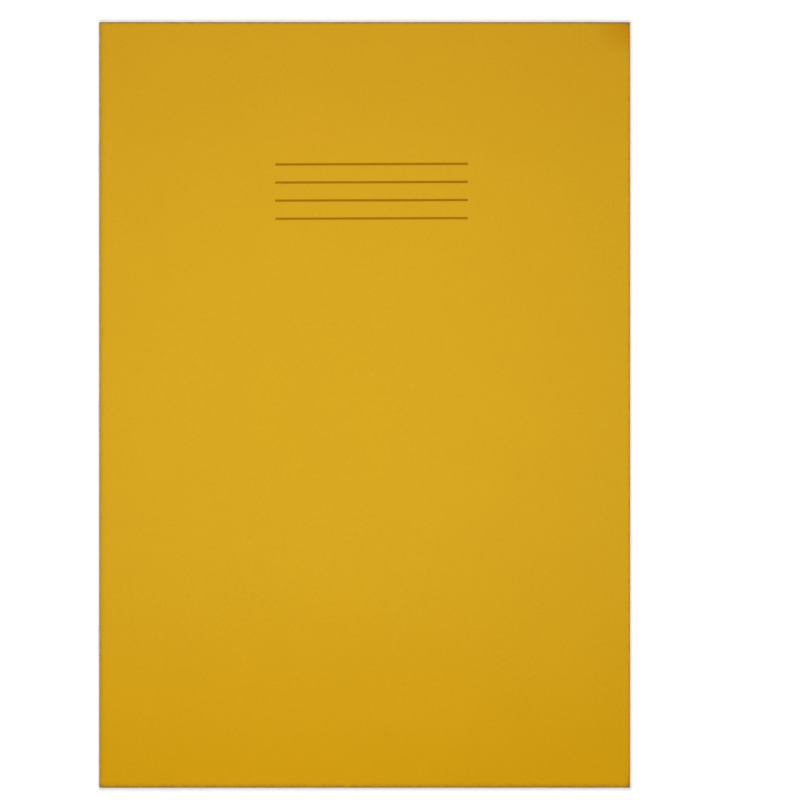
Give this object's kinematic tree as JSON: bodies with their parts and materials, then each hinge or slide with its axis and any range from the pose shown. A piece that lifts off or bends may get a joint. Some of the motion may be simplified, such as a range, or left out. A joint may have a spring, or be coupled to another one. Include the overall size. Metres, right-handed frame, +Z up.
{
  "type": "stapled exercise book",
  "caption": "Closed exercise book of nested folded paper sheets in a plain yellow card cover, held by wire staples through the spine; opens flat at its centre spread.",
  "frame": {"origin": "middle of the closed book's footprint, staple crowns included, at the back cover's underside", "axes": "+X from the spine to the fore-edge, +Y from tail to head, +Z up through the front cover"},
  "size_m": [0.2064, 0.297, 0.0055],
  "materials": {
    "cover_card": "uncoated yellow manila card with printed label rules on the front",
    "paper": "uncoated white paper, feint ruled with a margin on every page",
    "staple_wire": "galvanised round wire"
  },
  "bodies": {
    "back": {"back_cover": "cover_card", "sheet_01_back_leaf": "paper"},
    "spine": {"cover_spine": "cover_card", "sheet_01_fold": "paper", "sheet_02_fold": "paper", "sheet_03_fold": "paper", "sheet_04_fold": "paper", "sheet_05_fold": "paper", "sheet_06_fold": "paper", "sheet_07_fold": "paper", "sheet_08_fold": "paper", "sheet_09_fold": "paper", "sheet_10_fold": "paper", "sheet_11_fold": "paper", "sheet_12_fold": "paper", "sheet_13_fold": "paper", "sheet_14_fold": "paper", "sheet_15_fold": "paper", "sheet_16_fold": "paper", "head_staple": "staple_wire", "middle_staple": "staple_wire", "tail_staple": "staple_wire"},
    "front_cover": {"front_cover": "cover_card"},
    "front_leaf_01": {"sheet_01_front_leaf": "paper"},
    "back_leaf_02": {"sheet_02_back_leaf": "paper"},
    "front_leaf_02": {"sheet_02_front_leaf": "paper"},
    "back_leaf_03": {"sheet_03_back_leaf": "paper"},
    "front_leaf_03": {"sheet_03_front_leaf": "paper"},
    "back_leaf_04": {"sheet_04_back_leaf": "paper"},
    "front_leaf_04": {"sheet_04_front_leaf": "paper"},
    "back_leaf_05": {"sheet_05_back_leaf": "paper"},
    "front_leaf_05": {"sheet_05_front_leaf": "paper"},
    "back_leaf_06": {"sheet_06_back_leaf": "paper"},
    "front_leaf_06": {"sheet_06_front_leaf": "paper"},
    "back_leaf_07": {"sheet_07_back_leaf": "paper"},
    "front_leaf_07": {"sheet_07_front_leaf": "paper"},
    "back_leaf_08": {"sheet_08_back_leaf": "paper"},
    "front_leaf_08": {"sheet_08_front_leaf": "paper"},
    "back_leaf_09": {"sheet_09_back_leaf": "paper"},
    "front_leaf_09": {"sheet_09_front_leaf": "paper"},
    "back_leaf_10": {"sheet_10_back_leaf": "paper"},
    "front_leaf_10": {"sheet_10_front_leaf": "paper"},
    "back_leaf_11": {"sheet_11_back_leaf": "paper"},
    "front_leaf_11": {"sheet_11_front_leaf": "paper"},
    "back_leaf_12": {"sheet_12_back_leaf": "paper"},
    "front_leaf_12": {"sheet_12_front_leaf": "paper"},
    "back_leaf_13": {"sheet_13_back_leaf": "paper"},
    "front_leaf_13": {"sheet_13_front_leaf": "paper"},
    "back_leaf_14": {"sheet_14_back_leaf": "paper"},
    "front_leaf_14": {"sheet_14_front_leaf": "paper"},
    "back_leaf_15": {"sheet_15_back_leaf": "paper"},
    "front_leaf_15": {"sheet_15_front_leaf": "paper"},
    "back_leaf_16": {"sheet_16_back_leaf": "paper"},
    "front_leaf_16": {"sheet_16_front_leaf": "paper"}
  },
  "joints": [
    {"name": "book_opening", "type": "hinge", "parent": "back", "child": "front_leaf_01", "pos_m": [-0.10002, 0, 0.00273], "axis": [0, -1, 0], "range_deg": [0, 179], "deforming": ["cover_spine", "sheet_01_fold", "sheet_02_fold", "sheet_03_fold", "sheet_04_fold", "sheet_05_fold", "sheet_06_fold", "sheet_07_fold", "sheet_08_fold", "sheet_09_fold", "sheet_10_fold", "sheet_11_fold", "sheet_12_fold", "sheet_13_fold", "sheet_14_fold", "sheet_15_fold", "sheet_16_fold"]},
    {"name": "front_cover_hinge", "type": "hinge", "parent": "front_leaf_01", "child": "front_cover", "pos_m": [-0.10001, 0, 0.00549], "axis": [0, -1, 0], "range_deg": [0, 179]},
    {"name": "spine_turn", "type": "hinge", "parent": "back", "child": "spine", "pos_m": [-0.10002, 0, 0.00273], "axis": [0, -1, 0], "range_deg": [0, 89.5]},
    {"name": "back_leaf_02_lift", "type": "hinge", "parent": "back", "child": "back_leaf_02", "pos_m": [-0.10002, 0, 0.00273], "axis": [0, -1, 0], "range_deg": [0, 0.0179]},
    {"name": "front_leaf_02_turn", "type": "hinge", "parent": "back_leaf_02", "child": "front_leaf_02", "pos_m": [-0.10002, 0, 0.00273], "axis": [0, -1, 0], "range_deg": [0, 178.96]},
    {"name": "back_leaf_03_lift", "type": "hinge", "parent": "back", "child": "back_leaf_03", "pos_m": [-0.10002, 0, 0.00273], "axis": [0, -1, 0], "range_deg": [0, 0.0358]},
    {"name": "front_leaf_03_turn", "type": "hinge", "parent": "back_leaf_03", "child": "front_leaf_03", "pos_m": [-0.10002, 0, 0.00273], "axis": [0, -1, 0], "range_deg": [0, 178.93]},
    {"name": "back_leaf_04_lift", "type": "hinge", "parent": "back", "child": "back_leaf_04", "pos_m": [-0.10002, 0, 0.00273], "axis": [0, -1, 0], "range_deg": [0, 0.0537]},
    {"name": "front_leaf_04_turn", "type": "hinge", "parent": "back_leaf_04", "child": "front_leaf_04", "pos_m": [-0.10002, 0, 0.00273], "axis": [0, -1, 0], "range_deg": [0, 178.89]},
    {"name": "back_leaf_05_lift", "type": "hinge", "parent": "back", "child": "back_leaf_05", "pos_m": [-0.10002, 0, 0.00273], "axis": [0, -1, 0], "range_deg": [0, 0.0716]},
    {"name": "front_leaf_05_turn", "type": "hinge", "parent": "back_leaf_05", "child": "front_leaf_05", "pos_m": [-0.10002, 0, 0.00273], "axis": [0, -1, 0], "range_deg": [0, 178.86]},
    {"name": "back_leaf_06_lift", "type": "hinge", "parent": "back", "child": "back_leaf_06", "pos_m": [-0.10002, 0, 0.00273], "axis": [0, -1, 0], "range_deg": [0, 0.0895]},
    {"name": "front_leaf_06_turn", "type": "hinge", "parent": "back_leaf_06", "child": "front_leaf_06", "pos_m": [-0.10002, 0, 0.00273], "axis": [0, -1, 0], "range_deg": [0, 178.82]},
    {"name": "back_leaf_07_lift", "type": "hinge", "parent": "back", "child": "back_leaf_07", "pos_m": [-0.10002, 0, 0.00273], "axis": [0, -1, 0], "range_deg": [0, 0.1074]},
    {"name": "front_leaf_07_turn", "type": "hinge", "parent": "back_leaf_07", "child": "front_leaf_07", "pos_m": [-0.10002, 0, 0.00273], "axis": [0, -1, 0], "range_deg": [0, 178.79]},
    {"name": "back_leaf_08_lift", "type": "hinge", "parent": "back", "child": "back_leaf_08", "pos_m": [-0.10002, 0, 0.00273], "axis": [0, -1, 0], "range_deg": [0, 0.1253]},
    {"name": "front_leaf_08_turn", "type": "hinge", "parent": "back_leaf_08", "child": "front_leaf_08", "pos_m": [-0.10002, 0, 0.00273], "axis": [0, -1, 0], "range_deg": [0, 178.75]},
    {"name": "back_leaf_09_lift", "type": "hinge", "parent": "back", "child": "back_leaf_09", "pos_m": [-0.10002, 0, 0.00273], "axis": [0, -1, 0], "range_deg": [0, 0.1432]},
    {"name": "front_leaf_09_turn", "type": "hinge", "parent": "back_leaf_09", "child": "front_leaf_09", "pos_m": [-0.10002, 0, 0.00273], "axis": [0, -1, 0], "range_deg": [0, 178.71]},
    {"name": "back_leaf_10_lift", "type": "hinge", "parent": "back", "child": "back_leaf_10", "pos_m": [-0.10002, 0, 0.00273], "axis": [0, -1, 0], "range_deg": [0, 0.1611]},
    {"name": "front_leaf_10_turn", "type": "hinge", "parent": "back_leaf_10", "child": "front_leaf_10", "pos_m": [-0.10002, 0, 0.00273], "axis": [0, -1, 0], "range_deg": [0, 178.68]},
    {"name": "back_leaf_11_lift", "type": "hinge", "parent": "back", "child": "back_leaf_11", "pos_m": [-0.10002, 0, 0.00273], "axis": [0, -1, 0], "range_deg": [0, 0.179]},
    {"name": "front_leaf_11_turn", "type": "hinge", "parent": "back_leaf_11", "child": "front_leaf_11", "pos_m": [-0.10002, 0, 0.00273], "axis": [0, -1, 0], "range_deg": [0, 178.64]},
    {"name": "back_leaf_12_lift", "type": "hinge", "parent": "back", "child": "back_leaf_12", "pos_m": [-0.10002, 0, 0.00273], "axis": [0, -1, 0], "range_deg": [0, 0.1969]},
    {"name": "front_leaf_12_turn", "type": "hinge", "parent": "back_leaf_12", "child": "front_leaf_12", "pos_m": [-0.10002, 0, 0.00273], "axis": [0, -1, 0], "range_deg": [0, 178.61]},
    {"name": "back_leaf_13_lift", "type": "hinge", "parent": "back", "child": "back_leaf_13", "pos_m": [-0.10002, 0, 0.00273], "axis": [0, -1, 0], "range_deg": [0, 0.2148]},
    {"name": "front_leaf_13_turn", "type": "hinge", "parent": "back_leaf_13", "child": "front_leaf_13", "pos_m": [-0.10002, 0, 0.00273], "axis": [0, -1, 0], "range_deg": [0, 178.57]},
    {"name": "back_leaf_14_lift", "type": "hinge", "parent": "back", "child": "back_leaf_14", "pos_m": [-0.10002, 0, 0.00273], "axis": [0, -1, 0], "range_deg": [0, 0.2327]},
    {"name": "front_leaf_14_turn", "type": "hinge", "parent": "back_leaf_14", "child": "front_leaf_14", "pos_m": [-0.10002, 0, 0.00273], "axis": [0, -1, 0], "range_deg": [0, 178.53]},
    {"name": "back_leaf_15_lift", "type": "hinge", "parent": "back", "child": "back_leaf_15", "pos_m": [-0.10002, 0, 0.00273], "axis": [0, -1, 0], "range_deg": [0, 0.2506]},
    {"name": "front_leaf_15_turn", "type": "hinge", "parent": "back_leaf_15", "child": "front_leaf_15", "pos_m": [-0.10002, 0, 0.00273], "axis": [0, -1, 0], "range_deg": [0, 178.5]},
    {"name": "back_leaf_16_lift", "type": "hinge", "parent": "back", "child": "back_leaf_16", "pos_m": [-0.10002, 0, 0.00273], "axis": [0, -1, 0], "range_deg": [0, 0.2685]},
    {"name": "front_leaf_16_turn", "type": "hinge", "parent": "back_leaf_16", "child": "front_leaf_16", "pos_m": [-0.10002, 0, 0.00273], "axis": [0, -1, 0], "range_deg": [0, 178.46]}
  ],
  "couplings": [
    {"joint": "spine_turn", "follows": "book_opening", "ratio": 0.5},
    {"joint": "back_leaf_02_lift", "follows": "book_opening", "ratio": 0.0001},
    {"joint": "front_leaf_02_turn", "follows": "book_opening", "ratio": 0.9998},
    {"joint": "back_leaf_03_lift", "follows": "book_opening", "ratio": 0.0002},
    {"joint": "front_leaf_03_turn", "follows": "book_opening", "ratio": 0.9996},
    {"joint": "back_leaf_04_lift", "follows": "book_opening", "ratio": 0.0003},
    {"joint": "front_leaf_04_turn", "follows": "book_opening", "ratio": 0.9994},
    {"joint": "back_leaf_05_lift", "follows": "book_opening", "ratio": 0.0004},
    {"joint": "front_leaf_05_turn", "follows": "book_opening", "ratio": 0.9992},
    {"joint": "back_leaf_06_lift", "follows": "book_opening", "ratio": 0.0005},
    {"joint": "front_leaf_06_turn", "follows": "book_opening", "ratio": 0.999},
    {"joint": "back_leaf_07_lift", "follows": "book_opening", "ratio": 0.0006},
    {"joint": "front_leaf_07_turn", "follows": "book_opening", "ratio": 0.9988},
    {"joint": "back_leaf_08_lift", "follows": "book_opening", "ratio": 0.0007},
    {"joint": "front_leaf_08_turn", "follows": "book_opening", "ratio": 0.9986},
    {"joint": "back_leaf_09_lift", "follows": "book_opening", "ratio": 0.0008},
    {"joint": "front_leaf_09_turn", "follows": "book_opening", "ratio": 0.9984},
    {"joint": "back_leaf_10_lift", "follows": "book_opening", "ratio": 0.0009},
    {"joint": "front_leaf_10_turn", "follows": "book_opening", "ratio": 0.9982},
    {"joint": "back_leaf_11_lift", "follows": "book_opening", "ratio": 0.001},
    {"joint": "front_leaf_11_turn", "follows": "book_opening", "ratio": 0.998},
    {"joint": "back_leaf_12_lift", "follows": "book_opening", "ratio": 0.0011},
    {"joint": "front_leaf_12_turn", "follows": "book_opening", "ratio": 0.9978},
    {"joint": "back_leaf_13_lift", "follows": "book_opening", "ratio": 0.0012},
    {"joint": "front_leaf_13_turn", "follows": "book_opening", "ratio": 0.9976},
    {"joint": "back_leaf_14_lift", "follows": "book_opening", "ratio": 0.0013},
    {"joint": "front_leaf_14_turn", "follows": "book_opening", "ratio": 0.9974},
    {"joint": "back_leaf_15_lift", "follows": "book_opening", "ratio": 0.0014},
    {"joint": "front_leaf_15_turn", "follows": "book_opening", "ratio": 0.9972},
    {"joint": "back_leaf_16_lift", "follows": "book_opening", "ratio": 0.0015},
    {"joint": "front_leaf_16_turn", "follows": "book_opening", "ratio": 0.997}
  ]
}
